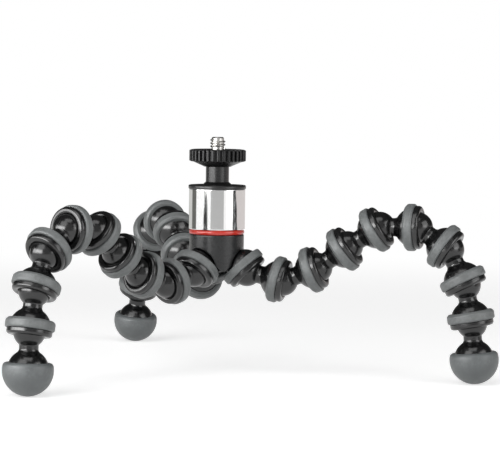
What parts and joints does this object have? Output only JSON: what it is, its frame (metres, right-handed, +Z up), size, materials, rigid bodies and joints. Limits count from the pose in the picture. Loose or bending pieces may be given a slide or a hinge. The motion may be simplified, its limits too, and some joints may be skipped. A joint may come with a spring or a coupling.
{
  "type": "flexible leg tripod",
  "caption": "Small camera tripod with legs of ball-jointed links that bend to any shape, rubber grip rings and feet, and a ball head locked by a turning sleeve.",
  "frame": {"origin": "on the head's axis at the foot of the camera stud, level with the lock wheel's top face", "axes": "+Z up along the camera stud; leg a runs along +X, and legs b and c follow at 120 and 240 degrees"},
  "size_m": [0.1904, 0.2131, 0.0966],
  "materials": {
    "link_plastic": "gloss black moulding",
    "grip_rubber": "satin grey rubber",
    "hub_plastic": "matt dark grey moulding",
    "accent_plastic": "red moulding",
    "sleeve_chrome": "polished",
    "cap_plastic": "black moulding",
    "seat_plastic": "plain moulding",
    "head_metal": "black anodised satin",
    "wheel_metal": "black anodised, ribbed"
  },
  "bodies": {
    "hub": {"hub_shell": "hub_plastic", "root_sockets": "link_plastic", "root_grip_rings": "grip_rubber", "accent_ring": "accent_plastic"},
    "sleeve": {"lock_sleeve": "sleeve_chrome", "top_cap": "cap_plastic"},
    "seat": {"ball_seat": "seat_plastic"},
    "ball": {"head_ball": "head_metal"},
    "wheel": {"lock_wheel": "wheel_metal"},
    "leg_a_1": {"leg_a_link_1": "link_plastic", "leg_a_ring_1": "grip_rubber"},
    "leg_a_2": {"leg_a_link_2": "link_plastic", "leg_a_ring_2": "grip_rubber"},
    "leg_a_3": {"leg_a_link_3": "link_plastic", "leg_a_ring_3": "grip_rubber"},
    "leg_a_4": {"leg_a_link_4": "link_plastic", "leg_a_ring_4": "grip_rubber"},
    "leg_a_5": {"leg_a_link_5": "link_plastic", "leg_a_ring_5": "grip_rubber"},
    "leg_a_6": {"leg_a_link_6": "link_plastic", "leg_a_ring_6": "grip_rubber"},
    "leg_a_7": {"leg_a_link_7": "link_plastic", "leg_a_ring_7": "grip_rubber"},
    "leg_a_8": {"leg_a_link_8": "link_plastic", "leg_a_ring_8": "grip_rubber"},
    "leg_a_foot": {"leg_a_foot": "grip_rubber"},
    "leg_b_1": {"leg_b_link_1": "link_plastic", "leg_b_ring_1": "grip_rubber"},
    "leg_b_2": {"leg_b_link_2": "link_plastic", "leg_b_ring_2": "grip_rubber"},
    "leg_b_3": {"leg_b_link_3": "link_plastic", "leg_b_ring_3": "grip_rubber"},
    "leg_b_4": {"leg_b_link_4": "link_plastic", "leg_b_ring_4": "grip_rubber"},
    "leg_b_5": {"leg_b_link_5": "link_plastic", "leg_b_ring_5": "grip_rubber"},
    "leg_b_6": {"leg_b_link_6": "link_plastic", "leg_b_ring_6": "grip_rubber"},
    "leg_b_7": {"leg_b_link_7": "link_plastic", "leg_b_ring_7": "grip_rubber"},
    "leg_b_8": {"leg_b_link_8": "link_plastic", "leg_b_ring_8": "grip_rubber"},
    "leg_b_foot": {"leg_b_foot": "grip_rubber"},
    "leg_c_1": {"leg_c_link_1": "link_plastic", "leg_c_ring_1": "grip_rubber"},
    "leg_c_2": {"leg_c_link_2": "link_plastic", "leg_c_ring_2": "grip_rubber"},
    "leg_c_3": {"leg_c_link_3": "link_plastic", "leg_c_ring_3": "grip_rubber"},
    "leg_c_4": {"leg_c_link_4": "link_plastic", "leg_c_ring_4": "grip_rubber"},
    "leg_c_5": {"leg_c_link_5": "link_plastic", "leg_c_ring_5": "grip_rubber"},
    "leg_c_6": {"leg_c_link_6": "link_plastic", "leg_c_ring_6": "grip_rubber"},
    "leg_c_7": {"leg_c_link_7": "link_plastic", "leg_c_ring_7": "grip_rubber"},
    "leg_c_8": {"leg_c_link_8": "link_plastic", "leg_c_ring_8": "grip_rubber"},
    "leg_c_foot": {"leg_c_foot": "grip_rubber"}
  },
  "joints": [
    {"name": "sleeve_turn", "type": "hinge", "parent": "hub", "child": "sleeve", "pos_m": [0, 0, -0.0146], "axis": [0, 0, 1], "range_deg": [0, 180]},
    {"name": "head_pan", "type": "hinge", "parent": "hub", "child": "seat", "pos_m": [0, 0, -0.0198], "axis": [0, 0, 1], "continuous": true},
    {"name": "head_tilt", "type": "hinge", "parent": "seat", "child": "ball", "pos_m": [0, 0, -0.0198], "axis": [0, 1, 0], "range_deg": [-22, 22]},
    {"name": "wheel_turn", "type": "hinge", "parent": "ball", "child": "wheel", "pos_m": [0, 0, 0], "axis": [0, 0, 1], "continuous": true},
    {"name": "leg_a_joint_1", "type": "hinge", "parent": "hub", "child": "leg_a_1", "pos_m": [0.013, 0, -0.0497], "axis": [0, -1, 0], "range_deg": [-72, 4]},
    {"name": "leg_a_joint_2", "type": "hinge", "parent": "leg_a_1", "child": "leg_a_2", "pos_m": [0.0281, 0, -0.05319], "axis": [0.0175, 0.9998, 0], "range_deg": [-3, 73]},
    {"name": "leg_a_joint_3", "type": "hinge", "parent": "leg_a_2", "child": "leg_a_3", "pos_m": [0.04247, -0.00025, -0.04738], "axis": [-0.0175, -0.9998, 0], "range_deg": [-52, 24]},
    {"name": "leg_a_joint_4", "type": "hinge", "parent": "leg_a_3", "child": "leg_a_4", "pos_m": [0.05501, -0.00047, -0.03827], "axis": [0.0349, 0.9994, 0], "range_deg": [-42, 34]},
    {"name": "leg_a_joint_5", "type": "hinge", "parent": "leg_a_4", "child": "leg_a_5", "pos_m": [0.06815, -0.00093, -0.03006], "axis": [-0.0523, -0.9986, 0], "range_deg": [-7, 69]},
    {"name": "leg_a_joint_6", "type": "hinge", "parent": "leg_a_5", "child": "leg_a_6", "pos_m": [0.08362, -0.00174, -0.02979], "axis": [0.0872, 0.9962, 0], "range_deg": [-72, 4]},
    {"name": "leg_a_joint_7", "type": "hinge", "parent": "leg_a_6", "child": "leg_a_7", "pos_m": [0.09657, -0.00287, -0.03823], "axis": [-0.1045, -0.9945, 0], "range_deg": [-8, 68]},
    {"name": "leg_a_joint_8", "type": "hinge", "parent": "leg_a_7", "child": "leg_a_8", "pos_m": [0.10357, -0.00361, -0.05204], "axis": [0.1392, 0.9903, 0], "range_deg": [-54, 22]},
    {"name": "leg_a_joint_9", "type": "hinge", "parent": "leg_a_8", "child": "leg_a_foot", "pos_m": [0.1065, -0.00402, -0.06725], "axis": [-0.1736, -0.9848, 0], "range_deg": [-32, 44]},
    {"name": "leg_b_joint_1", "type": "hinge", "parent": "hub", "child": "leg_b_1", "pos_m": [-0.0065, 0.01126, -0.0497], "axis": [0.866, 0.5, 0], "range_deg": [-63, 13]},
    {"name": "leg_b_joint_2", "type": "hinge", "parent": "leg_b_1", "child": "leg_b_2", "pos_m": [-0.01369, 0.0237, -0.05551], "axis": [-0.866, -0.5, 0], "range_deg": [-5, 71]},
    {"name": "leg_b_joint_3", "type": "hinge", "parent": "leg_b_2", "child": "leg_b_3", "pos_m": [-0.02129, 0.03688, -0.05255], "axis": [0.8572, 0.515, 0], "range_deg": [-55, 21]},
    {"name": "leg_b_joint_4", "type": "hinge", "parent": "leg_b_3", "child": "leg_b_4", "pos_m": [-0.02834, 0.04861, -0.04527], "axis": [-0.848, -0.5299, 0], "range_deg": [-30, 46]},
    {"name": "leg_b_joint_5", "type": "hinge", "parent": "leg_b_4", "child": "leg_b_5", "pos_m": [-0.03499, 0.05925, -0.03616], "axis": [0.8387, 0.5446, 0], "range_deg": [-10, 66]},
    {"name": "leg_b_joint_6", "type": "hinge", "parent": "leg_b_5", "child": "leg_b_6", "pos_m": [-0.04335, 0.07212, -0.034], "axis": [-0.809, -0.5878, 0], "range_deg": [-70.86, 5.14]},
    {"name": "leg_b_joint_7", "type": "hinge", "parent": "leg_b_6", "child": "leg_b_7", "pos_m": [-0.05161, 0.0835, -0.04052], "axis": [0.788, 0.6157, 0], "range_deg": [-6.86, 69.14]},
    {"name": "leg_b_joint_8", "type": "hinge", "parent": "leg_b_7", "child": "leg_b_8", "pos_m": [-0.05695, 0.09033, -0.05337], "axis": [-0.7547, -0.6561, 0], "range_deg": [-47, 29]},
    {"name": "leg_b_joint_9", "type": "hinge", "parent": "leg_b_8", "child": "leg_b_foot", "pos_m": [-0.06125, 0.09527, -0.06742], "axis": [0.7071, 0.7071, 0], "range_deg": [-23, 53]},
    {"name": "leg_c_joint_1", "type": "hinge", "parent": "hub", "child": "leg_c_1", "pos_m": [-0.0065, -0.01126, -0.0497], "axis": [-0.866, 0.5, 0], "range_deg": [-71, 5]},
    {"name": "leg_c_joint_2", "type": "hinge", "parent": "leg_c_1", "child": "leg_c_2", "pos_m": [-0.01402, -0.02428, -0.05345], "axis": [0.866, -0.5, 0], "range_deg": [-7, 69]},
    {"name": "leg_c_joint_3", "type": "hinge", "parent": "leg_c_2", "child": "leg_c_3", "pos_m": [-0.02143, -0.03712, -0.04892], "axis": [-0.8746, 0.4848, 0], "range_deg": [-55, 21]},
    {"name": "leg_c_joint_4", "type": "hinge", "parent": "leg_c_3", "child": "leg_c_4", "pos_m": [-0.02766, -0.04836, -0.04025], "axis": [0.891, -0.454, 0], "range_deg": [-35, 41]},
    {"name": "leg_c_joint_5", "type": "hinge", "parent": "leg_c_4", "child": "leg_c_5", "pos_m": [-0.03328, -0.05939, -0.03092], "axis": [-0.9063, 0.4226, 0], "range_deg": [-5, 71]},
    {"name": "leg_c_joint_6", "type": "hinge", "parent": "leg_c_5", "child": "leg_c_6", "pos_m": [-0.03982, -0.0734, -0.02984], "axis": [0.9272, -0.3746, 0], "range_deg": [-74.63, 1.37]},
    {"name": "leg_c_joint_7", "type": "hinge", "parent": "leg_c_6", "child": "leg_c_7", "pos_m": [-0.04471, -0.0855, -0.0382], "axis": [-0.9511, 0.309, 0], "range_deg": [-6.63, 69.37]},
    {"name": "leg_c_joint_8", "type": "hinge", "parent": "leg_c_7", "child": "leg_c_8", "pos_m": [-0.04681, -0.09197, -0.05213], "axis": [0.9744, -0.225, 0], "range_deg": [-51, 25]},
    {"name": "leg_c_joint_9", "type": "hinge", "parent": "leg_c_8", "child": "leg_c_foot", "pos_m": [-0.04759, -0.09536, -0.06723], "axis": [-0.9903, 0.1392, 0], "range_deg": [-29, 47]}
  ]
}
